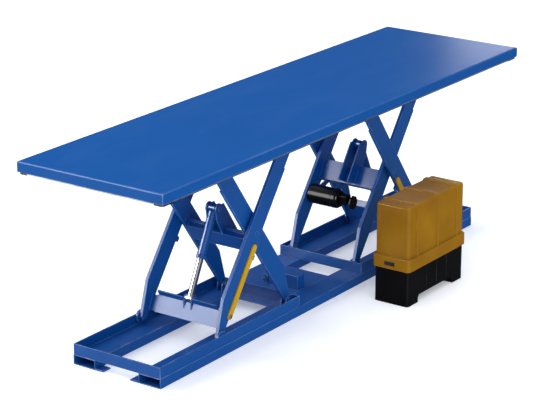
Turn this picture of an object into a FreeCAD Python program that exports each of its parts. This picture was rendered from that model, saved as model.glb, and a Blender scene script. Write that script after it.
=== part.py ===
import os
import FreeCAD, Part
from math import atan2, cos, degrees, pi, radians, sin, sqrt

V = FreeCAD.Vector
os.makedirs("parts", exist_ok=True)

# overall sizes, mm
deckL = 4500.0
deckW = 1200.0
raisedH = 1450.0
baseL = 4030.0
baseW = 740.0

# scissor geometry
packX = 884.4        # crossing pivot from the table's middle
halfSpan = 434.4     # half the foot-to-foot distance when raised
pivotZ = 126.0       # lower pivots above the floor
headZ = raisedH - 84.0
midZ = (pivotZ + headZ) / 2
legT = 24.0
legW = 142.4
legTan = 0.953 * (headZ - pivotZ) / (2 * halfSpan)   # slope of the straight part of a leg
legC = midZ + 47.2   # height of a leg's middle line above the crossing
legGap = 21.0        # between the inner and outer legs of one side
headR = 48.0

# deck
deckT = 6.0
skirtH = 74.0
skirtT = 5.0
foldR = 8.0
trackH = 27.7
trackW = 18.0

# base
railW = 184.0
railH = 70.0
railT = 5.0
flangeT = 6.0
wallT = 7.0
wallH = 150.0
wallInset = 4.0
frameGap = 405.6     # cross plate from the middle
endT = 8.0

# rollers, pins and running clearances
rollR = 49.7
rollW = 17.5
rollGap = 1.5
rollPinR = 12.0
wallGap = 2.0
pivotR = 16.0
midR = 20.0
run = 0.08
loose = 0.6          # upper pins of the second pack, the opened loop

# cylinder
headPin = (-39.6, 883.2)
eyePin = (-321.6, 302.4)
barrelR = 32.0
boreR = 26.0
rodR = 23.0
glandR = 35.0
barrelL = 338.0
headPinR = 14.0
washR = 24.0
eyeW = 50.0
lugT = 10.0
lugGap = 2.0
finY = barrelR + 4.0 # inner face of each clevis fin

# props
propPin = (-328.0, 246.0)
propTop = (-40.0, 660.0)
propR = 23.0
propT = 10.0

# power unit, outside the deck's edge
unitL = 800.0
unitW = 315.0
unitX = 152.0        # near end
unitY = -616.0       # long side next to the table
unitTop = 752.0
lipLow = 270.0
lipHigh = 362.0
shellT = 6.0
hoodGap = 0.3
hoodRound = 18.0
lipRound = 6.0
archH = 56.0
footL = 142.0


def save(name, *solids):
    shape = solids[0] if len(solids) == 1 else Part.makeCompound(list(solids))
    shape.exportStep("parts/%s.step" % name)


def box(x0, x1, y0, y1, z0, z1):
    return Part.makeBox(x1 - x0, y1 - y0, z1 - z0, V(x0, y0, z0))


def bar(x, z, r, y0, y1):
    return Part.makeCylinder(r, y1 - y0, V(x, y0, z), V(0, 1, 0))


def plate(points, y0, y1):
    ring = [V(x, y0, z) for x, z in points]
    return Part.Face(Part.makePolygon(ring + ring[:1])).extrude(V(0, y1 - y0, 0))


def both(side, a, b):
    return (a, b) if side > 0 else (-b, -a)


def blocks(sides, a, b, make):
    return [make(*both(s, a, b)) for s in sides]


def rounded(x0, x1, y0, y1, z0, z1, r, top=0.0):
    b = box(x0, x1, y0, y1, z0, z1)
    b = b.makeFillet(r, [e for e in b.Edges if abs(e.Vertexes[0].Z - e.Vertexes[1].Z) > 1e-6])
    if top:
        b = b.makeFillet(top, [e for e in b.Edges if e.BoundBox.ZMin > z1 - 1e-3])
    return b


def hull(circles, y0, y1):
    """outline round a few circles, given as (x, z, r)"""
    pts = []
    for x, z, r in circles:
        n = 48 if r else 1
        pts += [(x + r * cos(2 * pi * i / n), z + r * sin(2 * pi * i / n)) for i in range(n)]
    pts = sorted(set((round(a, 6), round(b, 6)) for a, b in pts))

    def half(seq):
        out = []
        for p in seq:
            while len(out) > 1 and ((out[-1][0] - out[-2][0]) * (p[1] - out[-2][1])
                                    - (out[-1][1] - out[-2][1]) * (p[0] - out[-2][0])) <= 1e-9:
                out.pop()
            out.append(p)
        return out[:-1]
    return plate(half(pts) + half(pts[::-1]), y0, y1)


wallY = baseW / 2 - wallInset - wallT
outerY = wallY - wallGap - rollW - rollGap - legT
innerY = outerY - legGap - legT
root = sqrt(1 + legTan ** 2)
edgeRise = legW / 2 * root
footR = (legTan * halfSpan - legC + edgeRise + pivotZ) / root
tankTop = lipHigh - shellT - hoodGap
sides = (1, -1)


def legLine(dx, up):
    return legTan * dx + legC + up * edgeRise


def along(a, b, t, off=0.0):
    """point t mm from a towards b and off mm to its left"""
    ux, uz = b[0] - a[0], b[1] - a[1]
    n = sqrt(ux * ux + uz * uz)
    ux, uz = ux / n, uz / n
    return (a[0] + ux * t - uz * off, a[1] + uz * t + ux * off)


def tube(a, b, r0, r1, t0, t1):
    """hollow bar on the line from a to b in the middle plane"""
    p, q = along(a, b, t0), along(a, b, t1)
    d = V(q[0] - p[0], 0, q[1] - p[1])
    s = Part.makeCylinder(r1, t1 - t0, V(p[0], 0, p[1]), d)
    return s.cut(Part.makeCylinder(r0, t1 - t0, V(p[0], 0, p[1]), d)) if r0 else s


def legOutline():
    """leg from its roller foot to its upper pivot, in mm from the crossing"""
    kink = (-0.8886 * halfSpan, legLine(-0.8886 * halfSpan, 1))
    front = (-halfSpan - footR - 0.6, pivotZ + 6)
    n = (legTan / root, -1 / root)
    heel = (-halfSpan + footR * n[0], pivotZ + footR * n[1])
    notch = 0.7735 * halfSpan
    step = 20.0
    toe = []
    a0, a1 = pi - 0.05, 2 * pi + atan2(n[1], n[0])
    for i in range(9):
        a = a0 + (a1 - a0) * i / 8
        toe.append((-halfSpan + footR * cos(a), pivotZ + footR * sin(a)))
    head = []
    b0 = atan2(n[1], n[0])
    for i in range(13):
        a = b0 + (pi + 0.1) * i / 12
        head.append((halfSpan + headR * cos(a), headZ + headR * sin(a)))
    low = [(notch, legLine(notch, -1)), (notch - step / 2, legLine(notch - step / 2, -1) + step)]
    return [kink, front] + toe + low + head + [(0.511 * halfSpan, legLine(0.511 * halfSpan, 1))]


def leg(flip, y0, y1, holes):
    pts = [(-x if flip else x, z) for x, z in legOutline()]
    s = plate(pts, y0, y1)
    for x, z, r in holes:
        s = s.cut(bar(-x if flip else x, z, r, y0 - 1, y1 + 1))
    return s


def pack(tag, centre, sign):
    """one scissor pack; sign +1 has its rollers at the -X end"""
    def place(s):
        if sign < 0:
            s = s.mirror(V(0, 0, 0), V(1, 0, 0))
        s.translate(V(centre, 0, 0))
        return s

    def put(name, *solids):
        save("%s_%s" % (name, tag), *[place(s) for s in solids])

    topClear = run if sign > 0 else loose
    crossing = (0.0, midZ, midR + run)
    foot = (-halfSpan, pivotZ)
    head = (halfSpan, headZ)
    propAt = (propPin[0], propPin[1], 8.0)
    for side, word in ((1, "left"), (-1, "right")):
        y0, y1 = both(side, innerY, innerY + legT)
        put("inner_leg_" + word, leg(True, y0, y1, [
            (0.0, midZ, midR), (foot[0], foot[1], pivotR + run), (head[0], head[1], rollPinR)]))
        y0, y1 = both(side, outerY, outerY + legT)
        holes = [crossing, (foot[0], foot[1], rollPinR), (head[0], head[1], pivotR + topClear)]
        if side < 0:
            holes.append(propAt)
        put("outer_leg_" + word, leg(False, y0, y1, holes))

    # cross box between the inner legs, with a short upright lip
    fb, ft, bt, bb = (103.2, 602.4), (40.8, 715.2), (2.4, 686.4), (64.8, 573.6)
    wall = 8.0
    outer = plate([fb, ft, bt, bb], -innerY, innerY)
    cx, cz = (fb[0] + bt[0]) / 2, (fb[1] + bt[1]) / 2
    un = along(fb, ft, 1.0)
    un = (un[0] - fb[0], un[1] - fb[1])
    vn = (un[1], -un[0])
    hl = sqrt((ft[0] - fb[0]) ** 2 + (ft[1] - fb[1]) ** 2) / 2 - wall
    hw = sqrt((ft[0] - bt[0]) ** 2 + (ft[1] - bt[1]) ** 2) / 2 - wall
    ring = [(cx + a * hl * un[0] + b * hw * vn[0], cz + a * hl * un[1] + b * hw * vn[1])
            for a, b in ((1, 1), (1, -1), (-1, -1), (-1, 1))]
    crossBox = outer.cut(plate(ring, -innerY, innerY))
    lipUp = along(fb, ft, 2 * (hl + wall) + 24.0)
    lipLow = along(fb, ft, 2 * (hl + wall) - wall)
    lip = [lipLow, lipUp, (lipUp[0] - wall * vn[0], lipUp[1] - wall * vn[1]),
           (lipLow[0] - wall * vn[0], lipLow[1] - wall * vn[1])]
    for y0, y1 in (both(1, finY + lugT, innerY - 14), both(-1, finY + lugT, innerY - 14)):
        crossBox = crossBox.fuse(plate(lip, y0, y1))
    put("cross_box", crossBox.removeSplitter())

    # clevis fins that carry the cylinder head
    finOutline = [(-76.8, 890.0), (-62.4, 792.0), bt, ft, along(ft, fb, 118.0), (189.6, 654.0),
                  (18.0, 908.0)]
    fins = []
    for y0, y1 in (both(1, finY, finY + lugT), both(-1, finY, finY + lugT)):
        fin = plate(finOutline, y0, y1).fuse(bar(headPin[0], headPin[1], 38.0, y0, y1))
        fin = fin.removeSplitter().cut(bar(headPin[0], headPin[1], headPinR, y0 - 1, y1 + 1))
        fins.append(fin)
    put("clevis_fins", *fins)

    # pins of the inner pair: crossing pins, spacers, roller pins, head pin
    pins = []
    for side in sides:
        pins.append(bar(0, midZ, midR, *both(side, innerY - 4, outerY + legT - 1)))
        y0, y1 = both(side, innerY + legT + 0.4, outerY - 0.4)
        pins.append(bar(0, midZ, 34.0, y0, y1).cut(bar(0, midZ, midR, y0 - 1, y1 + 1)))
        pins.append(bar(-halfSpan, headZ, rollPinR,
                        *both(side, innerY - 4, innerY + legT + rollGap + rollW)))
    pins.append(bar(headPin[0], headPin[1], headPinR, -finY - lugT - 7, finY + lugT + 7))
    for side in sides:
        y0, y1 = both(side, eyeW / 2 + 0.5, finY - 0.5)
        washer = bar(headPin[0], headPin[1], washR, y0, y1)
        pins.append(washer.cut(bar(headPin[0], headPin[1], headPinR, y0 - 1, y1 + 1)))
    put("inner_pins", *pins)

    # foot plate between the outer legs, with a lip and tongues to the legs
    pt, pb, pl = (-337.2, 276.0), (-384.0, 163.2), (-356.4, 314.4)
    th = 8.0
    face = plate([pt, pb, along(pt, pb, sqrt((pt[0] - pb[0]) ** 2 + (pt[1] - pb[1]) ** 2), th),
                  along(pt, pb, 3.0, th)], -innerY, innerY)
    fold = plate([pt, pl, along(pt, pl, 42.0, -th), along(pt, pb, 3.0, th)], -innerY + 12, innerY - 12)
    notchY = eyeW / 2 + lugGap
    fold = fold.cut(box(-400, -300, -notchY - lugT, notchY + lugT, 240, 340))
    tongue = plate([along(pt, pb, 6.0), along(pt, pb, 116.0), along(pt, pb, 116.0, th),
                    along(pt, pb, 6.0, th)], -outerY, outerY)
    put("foot_plate", face.fuse([fold, tongue]).removeSplitter())

    # lugs either side of the rod eye
    lugs = []
    root1, root2 = along(pt, pb, 8.0, th), along(pt, pb, 72.0, th)
    for side in sides:
        y0, y1 = both(side, notchY, notchY + lugT)
        lug = hull([(eyePin[0], eyePin[1], 26.0), (root1[0], root1[1], 0), (root2[0], root2[1], 0)], y0, y1)
        cap = bar(eyePin[0], eyePin[1], 15.0, *both(side, notchY + lugT, notchY + lugT + 7))
        lugs.append(lug.cut(plate([pt, pb, along(pt, pb, 130.0, th), along(pt, pb, -30.0, th),
                                   along(pt, pb, -30.0, 0)], y0 - 1, y1 + 1)).fuse(cap).removeSplitter())
    put("rod_lugs", *lugs)

    # pins of the outer pair: roller pins, prop pivot and prop rests
    studs = []
    for side in sides:
        studs.append(bar(-halfSpan, pivotZ, rollPinR,
                         *both(side, outerY - 4, outerY + legT + rollGap + rollW)))
        edge0 = (-66.0, legLine(-66.0, -1))
        edge1 = (66.0, legLine(66.0, -1))
        c = [along(edge0, edge1, 0, 0), along(edge0, edge1, 42.0, 0),
             along(edge0, edge1, 34.0, -30.0), along(edge0, edge1, 0, -30.0)]
        studs.append(plate(c, *both(side, outerY + 2, outerY + legT - 2)))
    studs.append(bar(propPin[0], propPin[1], 8.0, *both(-1, outerY + 2, outerY + legT + rollGap + propT)))
    studs.append(bar(propPin[0], propPin[1], 12.0, *both(-1, outerY + legT + rollGap + propT + 0.3,
                                                        outerY + legT + rollGap + propT + 5)))
    put("outer_studs", *studs)

    # rollers
    def rollers(x, z, start):
        out = []
        for side in sides:
            y0, y1 = both(side, start, start + rollW)
            r = bar(x, z, rollR, y0, y1)
            r = r.makeChamfer(1.5, [e for e in r.Edges if isinstance(e.Curve, Part.Circle)])
            out.append(r.cut(bar(x, z, rollPinR + run, y0 - 1, y1 + 1)))
        return out
    put("low_rollers", *rollers(-halfSpan, pivotZ, outerY + legT + rollGap))
    put("top_rollers", *rollers(-halfSpan, headZ, innerY + legT + rollGap))

    # cylinder: barrel with its eye, gland with a port, rod with its eye
    a, b = headPin, eyePin
    total = sqrt((a[0] - b[0]) ** 2 + (a[1] - b[1]) ** 2)
    barrel = tube(a, b, 0, barrelR, washR + 2, barrelL).cut(tube(a, b, 0, boreR, 62.0, barrelL + 1))
    eye = bar(a[0], a[1], 29.0, -eyeW / 2, eyeW / 2)
    barrel = barrel.fuse(eye).removeSplitter().cut(bar(a[0], a[1], headPinR + run, -40, 40))
    put("cylinder_barrel", barrel)
    gland = tube(a, b, rodR + 0.3, glandR, barrelL, barrelL + 26.0)
    g = along(a, b, barrelL + 13.0)
    port = Part.makeCylinder(9.0, 22.0, V(g[0], 0, g[1]), V(-0.9, 0, 0.437)).cut(
        tube(a, b, 0, glandR - 1, barrelL - 1, barrelL + 40.0))
    boss = Part.makeCylinder(9.0, glandR + 12.0, V(g[0], 0, g[1]), V(-0.9, 0, 0.437)).cut(
        tube(a, b, 0, rodR + 6, barrelL - 1, barrelL + 40.0))
    put("cylinder_gland", gland.fuse([boss]).removeSplitter())
    rod = tube(a, b, 0, rodR, 300.0, total - 12.0).fuse([
        tube(a, b, 0, boreR - 0.3, 292.0, 318.0), bar(b[0], b[1], 26.0, -eyeW / 2, eyeW / 2)])
    rod = rod.removeSplitter().cut(bar(b[0], b[1], 12.0, -40, 40))
    put("piston_rod", rod, bar(b[0], b[1], 12.0, -eyeW / 2 - 1, eyeW / 2 + 1))

    # maintenance prop on the near outer leg
    py0, py1 = both(-1, outerY + legT + rollGap, outerY + legT + rollGap + propT)
    prop = hull([(propPin[0], propPin[1], propR), (propTop[0], propTop[1], propR)], py0, py1)
    put("prop", prop.cut(bar(propPin[0], propPin[1], 8.0 + run, py0 - 1, py1 + 1)))


pack("front", -packX, 1)
pack("rear", packX, -1)


# ---------------------------------------------------------------- base
for side, word in ((1, "left"), (-1, "right")):
    y0, y1 = both(side, baseW / 2 - railW, baseW / 2)
    rail = box(-baseL / 2, baseL / 2, y0, y1, 0, railH)
    rail = rail.cut(box(-baseL / 2 - 1, baseL / 2 + 1, y0 + railT, y1 - railT, railT, railH - railT))
    save("base_rail_" + word, rail)
    for end, tag in ((-1, "front"), (1, "rear")):
        x0, x1 = both(end, frameGap + endT / 2, baseL / 2 - endT)
        fy0, fy1 = both(side, baseW / 2 - railW, wallY)
        wy0, wy1 = both(side, wallY, wallY + wallT)
        flange = box(x0, x1, fy0, fy1, railH, railH + flangeT)
        wall = box(x0, x1, wy0, wy1, railH, wallH)
        save("track_angle_%s_%s" % (tag, word), flange.fuse(wall).removeSplitter())

ends, crosses, tabs, brackets, pivots = [], [], [], [], []
for end in (-1, 1):
    x0, x1 = both(end, baseL / 2 - endT, baseL / 2)
    ends.append(box(x0, x1, -wallY - wallT, wallY + wallT, railH, wallH))
    x0, x1 = both(end, frameGap - endT / 2, frameGap + endT / 2)
    cross = box(x0, x1, -wallY - wallT, wallY + wallT, railH, wallH)
    crosses.append(cross)
    pivX = end * (packX - halfSpan)
    for side in sides:
        y0, y1 = both(side, baseW / 2 - railW - 70, baseW / 2 - railW)
        x0, x1 = both(end, baseL / 2 - 78, baseL / 2)
        tab = box(x0, x1, y0, y1, 0, 10)
        hole = Part.makeCylinder(9.0, 20, V(end * (baseL / 2 - 39), side * (baseW / 2 - railW - 36), -5))
        tabs.append(tab.cut(hole))
        for start in (innerY - 2 - 12, innerY + legT + 2):
            y0, y1 = both(side, start, start + 12)
            far = end * (frameGap + endT / 2)
            low = railH + flangeT
            pts = [(far, low), (far, pivotZ + 22), (pivX, pivotZ + 30), (pivX + end * 28, pivotZ + 12),
                   (pivX + end * 44, low)]
            cheek = plate(pts, y0, y1).cut(bar(pivX, pivotZ, pivotR, y0 - 1, y1 + 1))
            brackets.append(cheek)
        pivots.append(bar(pivX, pivotZ, pivotR, *both(side, innerY - 18, innerY + legT + 18)))
save("end_plates", *ends)
save("cross_plates", *crosses)
save("floor_tabs", *tabs)
save("pivot_brackets", *brackets)
save("pivot_pins", *pivots)
halfIn = baseW / 2 - railW
save("centre_plate", box(-530.4, 231.6, -halfIn, halfIn, railH - flangeT, railH))
shell = rounded(-152.0, -64.0, -174.0, 88.0, railH, railH + 106, 5.0, 4.0)
stub = Part.makeCylinder(13.0, 18, V(-169.0, 112.0, railH + 34), V(1, 0, 0)).fuse(
    box(-152, -118, 92, 132, railH, railH + 62))
save("hose_box", shell, stub.removeSplitter())

# ---------------------------------------------------------------- deck
under = raisedH - deckT
tray = box(-deckL / 2, deckL / 2, -deckW / 2, deckW / 2, raisedH - skirtH, raisedH)
fold = [e for e in tray.Edges if min(v.Z for v in e.Vertexes) > raisedH - 1]
tray = tray.makeFillet(foldR, fold)
tray = tray.cut(box(-deckL / 2 + skirtT, deckL / 2 - skirtT, -deckW / 2 + skirtT, deckW / 2 - skirtT,
                    raisedH - skirtH - 1, under))
save("deck", tray)

tracks, cheeks, topPins, ribs = [], [], [], []
for end in (-1, 1):
    for side in sides:
        x0, x1 = both(end, 1240.0, 2080.0)
        y0, y1 = both(side, innerY + legT + rollGap, innerY + legT + rollGap + trackW)
        tracks.append(box(x0, x1, y0, y1, under - trackH, under))
        pivX = end * (packX - halfSpan)
        for start in (outerY - 2 - 11, outerY + legT + 2):
            y0, y1 = both(side, start, start + 11)
            pts = [(pivX - 60, under), (pivX + 60, under), (pivX + 30, headZ - 26), (pivX - 30, headZ - 26)]
            cheeks.append(plate(pts, y0, y1).cut(bar(pivX, headZ, pivotR, y0 - 1, y1 + 1)))
        topPins.append(bar(pivX, headZ, pivotR, *both(side, outerY - 17, outerY + legT + 17)))
    for x in (250.0, 720.0, 1180.0, 1650.0, 2110.0):
        ribs.append(box(end * x - 5, end * x + 5, -250, 250, under - 38, under))
save("top_tracks", *tracks)
save("top_brackets", *cheeks)
save("top_pins", *topPins)
save("deck_ribs", *ribs)

# trip frame under the skirt
tripLow = raisedH - skirtH - 11
tripT = 9.0
tripGap = 1.5
tx, ty = deckL / 2 - skirtT - tripGap, deckW / 2 - skirtT - tripGap
cornerX, cornerY = 120.0, 70.0
bars = []
for s in sides:
    y0, y1 = both(s, ty - tripT, ty)
    bars.append(box(-tx + cornerX, tx - cornerX, y0, y1, tripLow, tripLow + 30))
    x0, x1 = both(s, tx - tripT, tx)
    bars.append(box(x0, x1, -ty + cornerY, ty - cornerY, tripLow, tripLow + 30))
save("trip_bars", *bars)
corners = []
for sx in sides:
    for sy in sides:
        x0, x1 = both(sx, tx - cornerX, tx)
        y0, y1 = both(sy, ty - cornerY, ty)
        c = box(x0, x1, y0, y1, tripLow - 4, tripLow + 26)
        e = [k for k in c.Edges
             if abs(k.Vertexes[0].X - sx * tx) < 1e-6 and abs(k.Vertexes[1].X - sx * tx) < 1e-6
             and abs(k.Vertexes[0].Y - sy * ty) < 1e-6 and abs(k.Vertexes[1].Y - sy * ty) < 1e-6]
        c = c.makeFillet(24.0, e)
        x0, x1 = both(sx, 0, tx - 14)
        y0, y1 = both(sy, 0, ty - 14)
        corners.append(c.cut(box(x0, x1, y0, y1, tripLow - 10, tripLow + 40)))
save("trip_corners", *corners)

# ---------------------------------------------------------------- drum motor on the rear cross box
motorAt = (packX - 206.4, 508.8)
motorR = 74.0
my0, my1 = 6.0, innerY - 7
drum = bar(motorAt[0], motorAt[1], motorR, my0 + 14, my1)
drum = drum.makeFillet(6.0, [e for e in drum.Edges if isinstance(e.Curve, Part.Circle)])
nose = bar(motorAt[0], motorAt[1], motorR - 12, my0, my0 + 15)
save("drum_motor", drum.fuse(nose).removeSplitter())
mx, mz = motorAt
block = box(mx - 34, mx + 34, -66, my0, mz - 30, mz + 38)
knob = bar(mx + 12, mz - 12, 36.0, -100, -80)
knob = knob.makeFillet(4.0, [e for e in knob.Edges if isinstance(e.Curve, Part.Circle)])
stem = bar(mx + 12, mz - 12, 14.0, -81, -66)
save("manifold", block.makeFillet(3.0, block.Edges), knob.fuse(stem).removeSplitter())
saddles = []
bb = (packX - 64.8, 573.6)
fb = (packX - 103.2, 602.4)
for y0 in (60.0, 200.0):
    c = plate([bb, fb, (mx - 20, mz + motorR - 12), (mx + 62, mz + motorR - 40)], y0, y0 + 8)
    saddles.append(c.cut(bar(mx, mz, motorR, y0 - 1, y0 + 9)))
save("motor_saddles", *saddles)

# ---------------------------------------------------------------- power unit
ux0, ux1 = unitX, unitX + unitL
uy0, uy1 = unitY - unitW, unitY
inset = 14.0
tx0, tx1, ty0, ty1 = ux0 + inset, ux1 - inset, uy0 + inset, uy1 - inset
tank = rounded(tx0, tx1, ty0, ty1, 0, tankTop, 22.0)
arch = box(tx0 + footL, tx1 - footL, ty0 - 5, ty1 + 5, -1, archH)
arch = arch.makeFillet(24.0, [e for e in arch.Edges if min(v.Z for v in e.Vertexes) > archH - 1
                              and abs(e.Vertexes[0].Y - e.Vertexes[1].Y) > 1])
tank = tank.cut(arch)
t = shellT
well = rounded(tx0 + t, tx1 - t, ty0 + t, ty1 - t, archH + t, tankTop + 1, 22.0 - t)
tank = tank.cut(well)
for x0, x1 in ((tx0 + t, tx0 + footL - t), (tx1 - footL + t, tx1 - t)):
    tank = tank.cut(box(x0 + 14, x1 - 14, ty0 + t + 14, ty1 - t - 14, t, archH + t + 1))
for i in (0.33, 0.51, 0.69):
    x = tx0 + i * (tx1 - tx0)
    for y0, y1 in ((ty0 - 3, ty0 + 1), (ty1 - 1, ty1 + 3)):
        tank = tank.fuse(box(x - 3, x + 3, y0, y1, archH + 30, lipLow - 6))
save("tank", tank.removeSplitter())

ledge = 16.0
hood = rounded(ux0, ux1, uy0, uy1, lipLow, lipHigh, 30.0, lipRound)
bx0, bx1, by0, by1 = ux0 + ledge, ux1 - ledge, uy0 + ledge, uy1 - ledge
hood = hood.fuse(rounded(bx0, bx1, by0, by1, lipHigh - 10, unitTop, 26.0, hoodRound))
for f in (0.155, 0.52, 0.87):
    x = bx0 + f * (bx1 - bx0)
    rib = box(x - 17, x + 17, by0 - 9, by1 + 9, lipHigh - 10, unitTop + 9)
    upper = [e for e in rib.Edges if e.BoundBox.ZMin > unitTop and e.BoundBox.YLength < 1]
    rib = rib.makeFillet(hoodRound + 7, upper)
    rib = rib.makeFillet(6.0, [e for e in rib.Edges if e.BoundBox.ZMax > lipHigh and e.BoundBox.XLength < 1])
    hood = hood.fuse(rib)
hood = hood.removeSplitter()
hood = hood.cut(rounded(ux0 + t, ux1 - t, uy0 + t, uy1 - t, lipLow - 1, lipHigh - t, 24.0))
hollow = rounded(bx0 + t, bx1 - t, by0 + t, by1 - t, lipHigh - t - 1, unitTop - t, 20.0, hoodRound - t)
hood = hood.cut(hollow)
save("hood", hood)
badgeY = (uy0 + uy1) / 2 + 8
save("badge", box(ux0 - 3, ux0, badgeY - 42, badgeY + 42, 296, 324))
lid = box(tx0 + t + 24, tx1 - t - 24, ty0 + t + 1, ty1 - t - 1, tankTop - 30, tankTop - 22)
save("tank_lid", lid)
lidTop = tankTop - 22
my = (ty0 + ty1) / 2
motor = Part.makeCylinder(78.0, 250, V(tx0 + 210, my, lidTop + 60))
motor = motor.fuse([Part.makeCylinder(60.0, 60, V(tx0 + 210, my, lidTop)),
                    box(tx0 + 280, tx0 + 340, my - 50, my + 50, lidTop + 140, lidTop + 240)])
save("pump_motor", motor.removeSplitter())
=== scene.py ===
import bpy
import bmesh
import numpy as np
from math import cos, pi, radians, sin, sqrt
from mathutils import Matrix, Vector


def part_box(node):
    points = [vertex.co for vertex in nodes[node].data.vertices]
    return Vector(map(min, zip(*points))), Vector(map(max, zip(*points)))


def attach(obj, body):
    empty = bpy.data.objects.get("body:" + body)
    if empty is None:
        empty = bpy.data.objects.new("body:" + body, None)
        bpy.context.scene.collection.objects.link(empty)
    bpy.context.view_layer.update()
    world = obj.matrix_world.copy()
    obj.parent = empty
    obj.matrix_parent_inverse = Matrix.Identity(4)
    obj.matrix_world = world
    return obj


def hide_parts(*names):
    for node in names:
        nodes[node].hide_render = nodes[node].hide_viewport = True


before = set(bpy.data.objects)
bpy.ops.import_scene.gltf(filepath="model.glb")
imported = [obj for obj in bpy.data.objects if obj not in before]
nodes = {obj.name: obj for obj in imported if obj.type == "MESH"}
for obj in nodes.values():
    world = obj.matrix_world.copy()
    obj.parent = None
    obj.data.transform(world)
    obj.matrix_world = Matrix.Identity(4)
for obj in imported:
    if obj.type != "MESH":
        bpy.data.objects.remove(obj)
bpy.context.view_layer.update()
scene = bpy.context.scene
print("frame loaded,", len(nodes), "nodes")


# shader maths: a socket that takes + - * / with numbers and other sockets
class Wire:
    def __init__(self, tree, socket):
        self.tree = tree
        self.socket = socket

    def maths(self, operation, a, b=0.0, clamp=False):
        return node(self.tree, "ShaderNodeMath", {"operation": operation, "use_clamp": clamp}, {0: a, 1: b})

    def __add__(self, other):
        return self.maths("ADD", self, other)

    def __radd__(self, other):
        return self.maths("ADD", other, self)

    def __sub__(self, other):
        return self.maths("SUBTRACT", self, other)

    def __rsub__(self, other):
        return self.maths("SUBTRACT", other, self)

    def __mul__(self, other):
        return self.maths("MULTIPLY", self, other)

    def __rmul__(self, other):
        return self.maths("MULTIPLY", other, self)

    def __truediv__(self, other):
        return self.maths("DIVIDE", self, other)

    def clip(self):
        return self.maths("ADD", self, 0.0, True)

    def above(self, low, high):
        # 0 below low, 1 above high and a straight ramp between
        return ((self - low) / (high - low)).clip()


def node(tree, kind, settings=None, values=None, out=0):
    made = tree.nodes.new(kind)
    for key, value in (settings or {}).items():
        setattr(made, key, value)
    for key, value in (values or {}).items():
        if isinstance(value, Wire):
            tree.links.new(value.socket, made.inputs[key])
        else:
            made.inputs[key].default_value = value
    return Wire(tree, made.outputs[out])


def colour(*rgb):
    # 8-bit screen values to linear light, with an opaque alpha
    return tuple(((v / 255 + 0.055) / 1.055) ** 2.4 if v > 10 else v / 255 / 12.92 for v in rgb) + (1.0,)


def blendColour(tree, share, a, b):
    return node(tree, "ShaderNodeMix", {"data_type": "RGBA"}, {0: share, 6: a, 7: b}, 2)


def startMaterial(name):
    material = bpy.data.materials.new(name)
    material.use_nodes = True
    tree = material.node_tree
    tree.nodes.clear()
    place = node(tree, "ShaderNodeTexCoord", out=3)
    return material, tree, place


def noise(tree, place, scale, detail=3.0, rough=0.5, stretch=None):
    if stretch:
        place = node(tree, "ShaderNodeMapping", {}, {0: place, 3: stretch})
    return node(tree, "ShaderNodeTexNoise", {}, {"Vector": place, "Scale": scale, "Detail": detail,
                                                 "Roughness": rough})


def edgeMask(tree, reach):
    # how far the rounded normal turns from the true one: 0 on flats, towards 1 on a sharp edge
    soft = node(tree, "ShaderNodeBevel", {"samples": 4}, {"Radius": reach})
    true = node(tree, "ShaderNodeNewGeometry", out=1)
    dot = node(tree, "ShaderNodeVectorMath", {"operation": "DOT_PRODUCT"}, {0: soft, 1: true}, 1)
    return ((1.0 - dot) * 5.0).clip(), soft


def finishMaterial(material, tree, fixed, linked):
    shader = tree.nodes.new("ShaderNodeBsdfPrincipled")
    for key, value in fixed.items():
        shader.inputs[key].default_value = value
    for key, wire in linked.items():
        tree.links.new(wire.socket, shader.inputs[key])
    out = tree.nodes.new("ShaderNodeOutputMaterial")
    tree.links.new(shader.outputs[0], out.inputs[0])
    return material


def paint(name, base, wearAndHighlight, look):
    # sprayed enamel: slow tone drift, orange peel, dull handled patches, paler edges (rubbed wear on some
    # paints, a painted highlight line on others), settled dust
    material, tree, place = startMaterial(name)
    drift = noise(tree, place, look["driftScale"], 3.0)
    peel = noise(tree, place, look["peelScale"], 2.0)
    scuff = noise(tree, place, look["scuffScale"], 5.0, 0.65, look.get("scuffStretch"))
    edge, soft = edgeMask(tree, look["edgeReach"])
    # edge band: rubbed wear on the yellow and grey paints, a painted highlight line on the blue, deck, amber,
    # black, ram and weld paints
    rubAndHighlight = (edge * (scuff.above(0.42, 0.62) * 0.7 + 0.3)).clip() * look["edgeWearAndHighlight"]
    tone = blendColour(tree, drift.above(0.3, 0.7), base, look["second"])
    tone = blendColour(tree, rubAndHighlight, tone, wearAndHighlight)
    up = node(tree, "ShaderNodeSeparateXYZ", {}, {0: node(tree, "ShaderNodeNewGeometry", out=1)}, 2)
    dust = (up.above(0.6, 0.95) * scuff.above(0.45, 0.75)) * look["dust"]
    tone = blendColour(tree, dust, tone, colour(150, 158, 170))
    rough = look["rough"] + (scuff - 0.5) * look["roughSwing"] + dust * 0.4 + rubAndHighlight * 0.1
    bump = node(tree, "ShaderNodeBump", {}, {"Strength": look["peel"], "Distance": 0.0006,
                                             "Height": peel, "Normal": soft})
    return finishMaterial(material, tree, {"Coat Roughness": 0.12, "Specular IOR Level": look["specular"]},
                          {"Base Color": tone, "Roughness": rough.clip(), "Normal": bump,
                           "Coat Weight": (drift.above(0.2, 0.8) * 0.1 + look["coat"]).clip()})


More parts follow.
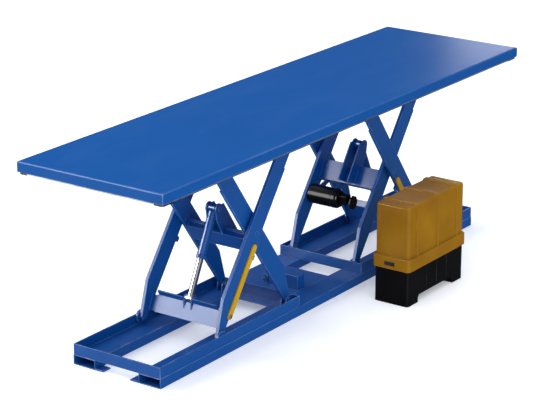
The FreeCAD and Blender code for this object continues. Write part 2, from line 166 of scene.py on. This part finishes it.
def metal(name, base, second, look):
    # bare or plated metal: grain along one axis, tarnish drift, rubbed edges
    material, tree, place = startMaterial(name)
    drift = noise(tree, place, look["driftScale"], 4.0, 0.6)
    grain = noise(tree, place, look["grainScale"], 2.0, 0.5, look["grainStretch"])
    edge, soft = edgeMask(tree, look["edgeReach"])
    tone = blendColour(tree, drift.above(0.35, 0.7), base, second)
    tone = blendColour(tree, edge * 0.4, tone, colour(240, 242, 245))
    rough = look["rough"] + (grain - 0.5) * look["roughSwing"] + drift.above(0.45, 0.75) * look["tarnish"]
    bump = node(tree, "ShaderNodeBump", {}, {"Strength": look["bump"], "Distance": 0.0002,
                                             "Height": grain, "Normal": soft})
    return finishMaterial(material, tree, {"Metallic": look["metallic"]},
                          {"Base Color": tone, "Roughness": rough.clip(), "Normal": bump})


def mould(name, base, second, look):
    # moulded rubber or plastic: pebbled grain, slightly bleached edges
    material, tree, place = startMaterial(name)
    drift = noise(tree, place, look["driftScale"], 3.0)
    pebble = node(tree, "ShaderNodeTexVoronoi", {}, {"Vector": place, "Scale": look["pebbleScale"]})
    edge, soft = edgeMask(tree, look["edgeReach"])
    tone = blendColour(tree, (drift.above(0.3, 0.7) * 0.6 + edge * 0.4).clip(), base, second)
    bump = node(tree, "ShaderNodeBump", {}, {"Strength": look["bump"], "Distance": 0.0004,
                                             "Height": pebble, "Normal": soft})
    return finishMaterial(material, tree, {}, {
        "Base Color": tone, "Roughness": (look["rough"] + (drift - 0.5) * 0.2).clip(), "Normal": bump})


enamel = {"driftScale": 1.3, "peelScale": 420.0, "scuffScale": 9.0, "edgeReach": 0.0045, "edgeWearAndHighlight": 1.0,
          "second": colour(6, 76, 150), "dust": 0.06, "rough": 0.34, "roughSwing": 0.16, "peel": 0.06,
          "specular": 0.3, "coat": 0.0}
# blue enamel: its pale lavender edge colour is a painted highlight line along every edge
blue = paint("blueEnamel", colour(10, 82, 158), colour(176, 198, 240), enamel)
# deck enamel: the near-white edge colour over a wide edge band is a painted highlight line along the deck's
# edges
blueDeck = paint("blueDeckEnamel", colour(6, 81, 154), colour(222, 232, 252), {
    **enamel, "driftScale": 0.5, "scuffScale": 3.5, "scuffStretch": (0.35, 1.0, 1.0),
    "second": colour(5, 78, 153), "dust": 0.02, "edgeReach": 0.008, "edgeWearAndHighlight": 1.0, "specular": 0.2,
    "rough": 0.24, "roughSwing": 0.08})
# hood paint: the bright amber edge colour is a painted highlight along the hood's rib edges
amber = paint("amberHood", colour(158, 112, 8), colour(214, 160, 50), {
    **enamel, "driftScale": 2.4, "second": colour(136, 92, 8), "scuffScale": 12.0, "rough": 0.16,
    "roughSwing": 0.1, "edgeReach": 0.004, "edgeWearAndHighlight": 0.8, "specular": 0.3, "dust": 0.03})
# black paint for tank, drum and manifold: the grey-blue edge colour is a painted highlight line along their
# fold edges
blackGloss = paint("blackTank", colour(9, 9, 10), colour(104, 110, 122), {
    **enamel, "driftScale": 3.0, "second": colour(14, 14, 16), "rough": 0.2, "roughSwing": 0.14,
    "edgeReach": 0.003, "edgeWearAndHighlight": 0.6, "specular": 0.12, "dust": 0.03})
yellow = paint("yellowProp", colour(206, 164, 8), colour(120, 100, 60), {
    **enamel, "driftScale": 6.0, "second": colour(190, 146, 4), "scuffScale": 26.0, "edgeReach": 0.002,
    "edgeWearAndHighlight": 0.55, "dust": 0.08})
greyPaint = paint("greyMotor", colour(70, 73, 78), colour(150, 152, 156), {
    **enamel, "driftScale": 7.0, "second": colour(58, 60, 64), "scuffScale": 30.0, "dust": 0.12})
plated = {"driftScale": 14.0, "grainScale": 160.0, "grainStretch": (1.0, 1.0, 1.0), "edgeReach": 0.0015,
          "rough": 0.32, "roughSwing": 0.2, "tarnish": 0.12, "bump": 0.05, "metallic": 1.0}
zinc = metal("zincPlate", colour(188, 190, 194), colour(158, 162, 168), plated)
trim = metal("tripAluminium", colour(205, 207, 208), colour(182, 185, 188), {
    **plated, "driftScale": 5.0, "grainScale": 90.0, "grainStretch": (0.08, 0.08, 1.0), "rough": 0.36})
rubber = mould("blackRubber", colour(14, 14, 15), colour(34, 34, 36), {
    "driftScale": 18.0, "pebbleScale": 900.0, "edgeReach": 0.002, "bump": 0.25, "rough": 0.62})
badgePlastic = mould("darkBadge", colour(12, 12, 14), colour(46, 48, 54), {
    "driftScale": 22.0, "pebbleScale": 1400.0, "edgeReach": 0.0015, "bump": 0.12, "rough": 0.4})
print("materials made")


def wear(material, *names):
    for name in names:
        for found in [n for n in nodes if n == name or n.startswith(name + "_")]:
            for place in nodes[found].material_slots:
                place.material = material


# a name also covers the nodes that carry on from it, so "deck" takes the ribs too
wear(blue, "base_rail", "track_angle", "end_plates", "cross_plates", "centre_plate", "floor_tabs", "hose_box",
     "pivot_brackets", "inner_leg", "outer_leg", "cross_box", "clevis_fins", "foot_plate", "rod_lugs",
     "cylinder_gland", "top_tracks", "top_brackets", "motor_saddles", "low_rollers", "top_rollers",
     "pivot_pins", "top_pins", "inner_pins", "outer_studs")
wear(blueDeck, "deck")
wear(yellow, "prop")
wear(trim, "trip_bars")
wear(rubber, "trip_corners")
wear(amber, "hood")
wear(blackGloss, "tank", "drum_motor", "manifold")
wear(zinc, "tank_lid")   # after the tank, whose name covers it
wear(greyPaint, "pump_motor")
wear(badgePlastic, "badge")


# turned, beaded and bolted details as numpy surfaces
surfaceLook = {"sharpAngle": 32, "steps": 72, "core": 1e-4}   # core is the radius that closes a solid piece


def addSurface(name, parts, material, body, stands=()):
    # parts is a list of (points, quads) and becomes one object that rides on a body
    start, points, quads = 0, [], []
    for part, faces in parts:
        points.append(part)
        quads.append(faces + start)
        start += len(part)
    mesh = bpy.data.meshes.new(name)
    mesh.from_pydata(np.concatenate(points).tolist(), [], np.concatenate(quads).tolist())
    work = bmesh.new()
    work.from_mesh(mesh)
    bmesh.ops.recalc_face_normals(work, faces=work.faces)
    work.to_mesh(mesh)
    work.free()
    mesh.polygons.foreach_set("use_smooth", np.ones(len(mesh.polygons), bool))
    mesh.set_sharp_from_angle(angle=radians(surfaceLook["sharpAngle"]))
    mesh.materials.append(material)
    made = bpy.data.objects.new(name, mesh)
    scene.collection.objects.link(made)
    if stands:
        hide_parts(*stands)
    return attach(made, body)


def sweepGrid(rows, steps):
    # quads of a grid that closes on itself both ways
    i, j = np.meshgrid(np.arange(rows), np.arange(steps), indexing="ij")
    a, b = i * steps + j, (i + 1) % rows * steps + j
    c, d = (i + 1) % rows * steps + (j + 1) % steps, i * steps + (j + 1) % steps
    return np.stack([a, b, c, d], -1).reshape(-1, 4)


def turned(start, axis, profile, steps=surfaceLook["steps"], lobes=0, swing=0.0):
    # a closed profile of (distance, radius) pairs goes round the axis; the radius may wave with the angle
    axis = np.array(axis, float) / np.linalg.norm(axis)
    side = np.cross(axis, (0.0, 0.0, 1.0) if abs(axis[2]) < 0.9 else (0.0, 1.0, 0.0))
    side /= np.linalg.norm(side)
    up = np.cross(side, axis)
    turn = np.linspace(0, 2 * pi, steps, endpoint=False)
    ring = np.outer(np.cos(turn), side) + np.outer(np.sin(turn), up)
    along, radius = np.array(profile, float).T
    wave = 1 + swing * np.cos(lobes * turn)
    points = (np.array(start) + along[:, None, None] * axis
              + radius[:, None, None] * wave[None, :, None] * ring)
    return points.reshape(-1, 3), sweepGrid(len(profile), steps)


weldLook = {"ripple": 0.12, "pitch": 0.009, "sample": 0.004, "steps": 8, "radius": 0.003, "tip": 1e-5}


def weld(start, end, radius=weldLook["radius"]):
    # a thin rod from start to end whose radius ripples by a tenth every few millimetres
    start, end = np.array(start, float), np.array(end, float)
    length = np.linalg.norm(end - start)
    count = int(length / weldLook["sample"]) + 3
    place = np.linspace(0, length, count)
    swell = radius * (1 + weldLook["ripple"] * np.sin(2 * pi * place / weldLook["pitch"]))
    swell[[0, -1]] = weldLook["tip"]
    points, quads = turned(start, end - start, np.stack([place, swell], 1), weldLook["steps"])
    return points, quads[:-weldLook["steps"]]   # the last ring of quads would join the two ends


boltLook = {"washer": 0.0015, "washerShare": 1.3, "crown": 0.0008, "crownShare": 0.86, "core": 1e-5}


def hexHead(centre, axis, across, height):
    # six-sided head with a chamfered crown on a round washer; across is the distance between flats
    flat, seat, core = across / sqrt(3), boltLook["washer"], boltLook["core"]
    rim = flat * boltLook["washerShare"]
    head = turned(centre, axis, [(seat, core), (seat, flat), (height - boltLook["crown"], flat),
                                 (height, flat * boltLook["crownShare"]), (height, core)], 6)
    washer = turned(centre, axis, [(0, core), (0, rim), (seat, rim), (seat, core)], 32)
    return [head, washer]


core, crossways = surfaceLook["core"], (0.0, 1.0, 0.0)
ram = {"head": (-0.0396, 0.8832), "eye": (-0.3216, 0.3024), "steps": 96,
       "outer": 0.032, "bore": 0.026, "from": 0.026, "bottom": 0.062, "to": 0.338,
       "chamfer": 0.002, "seam": 0.0015, "mouth": 0.003,
       "rod": 0.023, "tail": 0.012, "pistonFrom": 0.292, "pistonTo": 0.318, "pistonGap": 0.0003,
       "eyeHalf": 0.025, "eyeR": 0.029, "eyeBore": 0.0141, "rodEyeR": 0.026, "rodPinR": 0.012, "rim": 0.001}
# weld bead paint: the paler blue base and near-white edge colour are a painted highlight line along the
# joints and box edges
beadHighlightPaint = paint("weldBeadPaintedHighlight", colour(58, 116, 196), colour(150, 176, 226), {
    **enamel, "second": colour(44, 104, 186), "edgeReach": 0.001})
# ram paint: its pale lavender edge colour is a painted highlight line along the rims
ramPaint = paint("ramPaint", colour(14, 84, 158), colour(176, 198, 240), {
    **enamel, "rough": 0.2, "roughSwing": 0.08, "specular": 0.5, "edgeReach": 0.001})
smoothChrome = metal("rodChrome", colour(176, 178, 184), colour(160, 163, 170), {
    **plated, "rough": 0.16, "roughSwing": 0.02, "tarnish": 0.02, "bump": 0.0, "edgeReach": 0.0003})


def barrelTube(head, way):
    # hollow tube with a closed bottom, a low welded seam and a chamfered mouth
    r, bore, seam, edge = ram["outer"], ram["bore"], ram["bottom"], ram["chamfer"]
    return turned(head, way, [
        (ram["from"], core), (ram["from"], r - edge), (ram["from"] + edge, r), (seam - edge, r),
        (seam, r + ram["seam"]), (seam + edge, r), (ram["to"] - ram["mouth"], r), (ram["to"], r - edge),
        (ram["to"], bore), (seam, bore), (seam, core)], ram["steps"])


def barrelEye(head):
    # pierced round eye across the ram, its rims broken
    half, r, bore, rim = ram["eyeHalf"], ram["eyeR"], ram["eyeBore"], ram["rim"]
    return turned(head - half * np.array(crossways), crossways, [
        (0, bore), (0, r - rim), (rim, r), (2 * half - rim, r), (2 * half, r - rim), (2 * half, bore)])


def rodShaft(head, way, total):
    # piston head, then the plain rod up to its eye
    r, piston = ram["rod"], ram["bore"] - ram["pistonGap"]
    return turned(head, way, [
        (ram["pistonFrom"], core), (ram["pistonFrom"], piston), (ram["pistonTo"], piston),
        (ram["pistonTo"], r), (total - ram["tail"], r), (total - ram["tail"], core)], ram["steps"])


def rodEye(eye):
    # round eye with its pin standing a millimetre proud on both sides
    wide, r, pin, rim = 2 * ram["eyeHalf"], ram["rodEyeR"], ram["rodPinR"], ram["rim"]
    return turned(eye - (ram["eyeHalf"] + rim) * np.array(crossways), crossways, [
        (0, core), (0, pin), (rim, pin), (rim, r - rim), (2 * rim, r), (wide, r), (wide + rim, r - rim),
        (wide + rim, pin), (wide + 2 * rim, pin), (wide + 2 * rim, core)])


footPlate = {"top": (-0.3372, 0.276), "low": (-0.384, 0.1632), "ends": 0.314, "clear": 0.06}
crossBox = {"ends": 0.269,
            "corners": [(0.1032, 0.6024), (0.0408, 0.7152), (0.0024, 0.6864), (0.0648, 0.5736)]}
fins = {"root": (0.0408, 0.7152), "low": (0.1032, 0.6024), "reach": 0.118, "faces": (0.036, 0.046)}
propPivot = {"at": (-0.328, 0.246), "face": -0.3545, "across": 0.016, "height": 0.004}
packs = {"front": (1, -0.8844, 1), "rear": (2, 0.8844, -1)}   # number, crossing's place along X, facing
for tag, (k, centre, sign) in packs.items():
    def at(xz, y=0.0):
        return np.array([centre + sign * xz[0], y, xz[1]])

    head, eye = at(ram["head"]), at(ram["eye"])
    total = np.linalg.norm(eye - head)
    way = (eye - head) / total
    word = tag.title()
    addSurface("barrelSkin" + word, [barrelTube(head, way), barrelEye(head)], ramPaint, "barrel_%d" % k,
               ["cylinder_barrel_" + tag])
    addSurface("rodSkin" + word, [rodShaft(head, way, total), rodEye(eye)], smoothChrome, "rod_%d" % k,
               ["piston_rod_" + tag])
    footBeads, boxBeads = [], []
    for side in (-1, 1):
        top = at(footPlate["top"], side * footPlate["ends"])
        low = at(footPlate["low"], side * footPlate["ends"])
        inset = (low - top) * footPlate["clear"]
        footBeads.append(weld(top + inset, low - inset))
        corners = [at(corner, side * crossBox["ends"]) for corner in crossBox["corners"]]
        boxBeads += [weld(start, end) for start, end in zip(corners, corners[1:] + corners[:1])]
        for face in fins["faces"]:
            root, low = at(fins["root"], side * face), at(fins["low"], side * face)
            boxBeads.append(weld(root, root + (low - root) / np.linalg.norm(low - root) * fins["reach"]))
    # the weld beads wear the paler blue: a painted highlight line along the foot plate ends and box edges
    addSurface("footWeldsPaintedHighlight" + word, footBeads, beadHighlightPaint, "outer_%d" % k)
    addSurface("boxWeldsPaintedHighlight" + word, boxBeads, beadHighlightPaint, "inner_%d" % k)
    addSurface("propBolt" + word, hexHead(at(propPivot["at"], propPivot["face"]), (0, -1, 0),
                                          propPivot["across"], propPivot["height"]), zinc, "outer_%d" % k)

pivotBolt = {"x": 0.45, "z": 0.126, "across": 0.019, "height": 0.007}
pins = np.array([v.co for v in nodes["pivot_pins"].data.vertices])
pinEnd = float(np.abs(pins[:, 1]).min())
caps = []
for x in (-pivotBolt["x"], pivotBolt["x"]):
    for side in (-1, 1):
        caps += hexHead((x, side * pinEnd, pivotBolt["z"]), (0, -side, 0), pivotBolt["across"],
                        pivotBolt["height"])
addSurface("pivotBolts", caps, zinc, "base")

drumTrim = {"knobX": 0.012, "knobZ": -0.012, "knobFrom": -0.112, "steps": 96, "lobes": 8, "swing": 0.06,
            "knob": [(0, core), (0, 0.016), (0.003, 0.02), (0.004, 0.046), (0.008, 0.052), (0.018, 0.052),
                     (0.022, 0.046), (0.022, core)],
            "band": [(0, 0.0738), (0.001, 0.0752), (0.007, 0.0752), (0.008, 0.0738)],
            "farBand": 0.03, "nearBand": 0.045}
drumLow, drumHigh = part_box("drum_motor")
drumX, drumZ = (drumLow.x + drumHigh.x) / 2, (drumLow.z + drumHigh.z) / 2
knob = turned((drumX + drumTrim["knobX"], drumTrim["knobFrom"], drumZ + drumTrim["knobZ"]), crossways,
              drumTrim["knob"], drumTrim["steps"], drumTrim["lobes"], drumTrim["swing"])
bands = [turned((drumX, y, drumZ), crossways, drumTrim["band"], drumTrim["steps"])
         for y in (drumHigh.y - drumTrim["farBand"], drumLow.y + drumTrim["nearBand"])]
addSurface("drumDetails", [knob] + bands, blackGloss, "inner_2")

boxBolt = {"at": (0.8342, 0.235, 0.6983), "axis": (-0.875, 0.0, 0.484), "across": 0.019, "height": 0.007}
addSurface("boxBolt", hexHead(boxBolt["at"], boxBolt["axis"], boxBolt["across"], boxBolt["height"]), blue,
           "inner_2")

# beads along the wall and rail joint in the paler blue: a painted highlight line along the joint
railWeld = {"from": 0.42, "to": 2.01, "y": 0.3675, "z": 0.0705, "radius": 0.0022}
lines = []
for side in (-1, 1):
    y, z = side * railWeld["y"], railWeld["z"]
    for x0, x1 in ((-railWeld["to"], -railWeld["from"]), (railWeld["from"], railWeld["to"])):
        lines.append(weld((x0, y, z), (x1, y, z), railWeld["radius"]))
addSurface("railWeldsPaintedHighlight", lines, beadHighlightPaint, "base")
print("details made")

# floor, light and camera
stage = {"floorHalf": 30.0, "floorTone": colour(246, 247, 250), "driftTone": colour(246, 248, 252),
         "speckScale": 0.8, "glowTone": colour(250, 252, 255), "glow": 0.3}
half = stage["floorHalf"]
ground = bpy.data.meshes.new("floor")
ground.from_pydata([(-half, -half, 0), (half, -half, 0), (half, half, 0), (-half, half, 0)], [],
                   [(0, 1, 2, 3)])
floor = bpy.data.objects.new("floor", ground)
scene.collection.objects.link(floor)
floorMaterial, floorTree, floorPlace = startMaterial("paleFloor")
speck = noise(floorTree, floorPlace, stage["speckScale"], 4.0)
finishMaterial(floorMaterial, floorTree, {
    "Emission Color": stage["glowTone"], "Emission Strength": stage["glow"]}, {
    "Base Color": blendColour(floorTree, speck.above(0.3, 0.7), stage["floorTone"], stage["driftTone"]),
    "Roughness": speck * 0.1 + 0.6})
ground.materials.append(floorMaterial)
floor.visible_glossy = False   # keeps the white ground out of the paint's reflections

shot = {"target": Vector((-0.2947, 0.0, 0.7444)), "distance": 15.129, "azimuth": -54.670, "elevation": 18.5,
        "lens": 142.89, "sensor": 36.0, "farClip": 200.0}


def towards(azimuth, elevation):
    # unit vector from the target to the viewer: azimuth 0 looks along +Y and 90 along -X
    a, e = radians(azimuth), radians(elevation)
    return Vector((sin(a) * cos(e), -cos(a) * cos(e), sin(e)))


camera = bpy.data.objects.new("camera", bpy.data.cameras.new("camera"))
scene.collection.objects.link(camera)
camera.location = shot["target"] + towards(shot["azimuth"], shot["elevation"]) * shot["distance"]
camera.rotation_euler = (shot["target"] - camera.location).to_track_quat("-Z", "Y").to_euler()
camera.data.lens = shot["lens"]
camera.data.sensor_width = shot["sensor"]
camera.data.clip_end = shot["farClip"]
scene.camera = camera
scene.view_settings.view_transform = "Standard"


# place, side in metres and watts; a fill lamp shows in no reflection, a shine lamp shows in nothing else
lampAim = Vector((0.0, 0.0, 0.7))
lamps = {"overheadSoftbox": (Vector((-1.5, 1.0, 11.0)), 9.0, 400.0, "fill"),
         "viewerFill": (Vector((-0.6, -0.75, 0.35)).normalized() * 12.0, 8.0, 190.0, "fill"),
         "farFill": (Vector((-0.3, 0.8, 0.5)).normalized() * 12.0, 8.0, 640.0, "fill"),
         "leftPanel": (Vector((-0.77, 0.55, 0.34)).normalized() * 12.0, 7.0, 2700.0, "shine"),
         "farRight": (Vector((0.96, 0.26, 0.09)).normalized() * 14.0, 5.0, 470.0, "shine")}
for name, (source, size, power, use) in lamps.items():
    data = bpy.data.lights.new(name, "AREA")
    data.size = size
    data.energy = power
    made = bpy.data.objects.new(name, data)
    scene.collection.objects.link(made)
    made.visible_diffuse = use == "fill"
    made.visible_glossy = use == "shine"
    made.location = source
    made.rotation_euler = (lampAim - made.location).to_track_quat("-Z", "Y").to_euler()

world = bpy.data.worlds.new("softStudio")
scene.world = world
world.use_nodes = True
sky = world.node_tree
sky.nodes.clear()
skyWay = node(sky, "ShaderNodeTexCoord", out=0)


def glow(direction, wide, narrow):
    # 0 outside the wide angle from a direction and 1 inside the narrow one
    v = Vector(direction).normalized()
    dot = node(sky, "ShaderNodeVectorMath", {"operation": "DOT_PRODUCT"}, {0: skyWay, 1: tuple(v)}, 1)
    return dot.above(cos(radians(wide)), cos(radians(narrow)))


studio = {"base": 0.09, "top": 1.25, "topWay": (0, 0, 1), "topAngles": (62, 30),
          "viewerSide": 0.9, "viewerWay": (-0.5, -0.85, 0.15), "viewerAngles": (55, 15),
          "tint": (0.95, 0.97, 1.0, 1.0)}
strength = (studio["base"] + glow(studio["topWay"], *studio["topAngles"]) * studio["top"]
            + glow(studio["viewerWay"], *studio["viewerAngles"]) * studio["viewerSide"])
back = sky.nodes.new("ShaderNodeBackground")
back.inputs[0].default_value = studio["tint"]
sky.links.new(strength.socket, back.inputs[1])
sky.links.new(back.outputs[0], sky.nodes.new("ShaderNodeOutputWorld").inputs[0])
print("stage, lights and camera set")
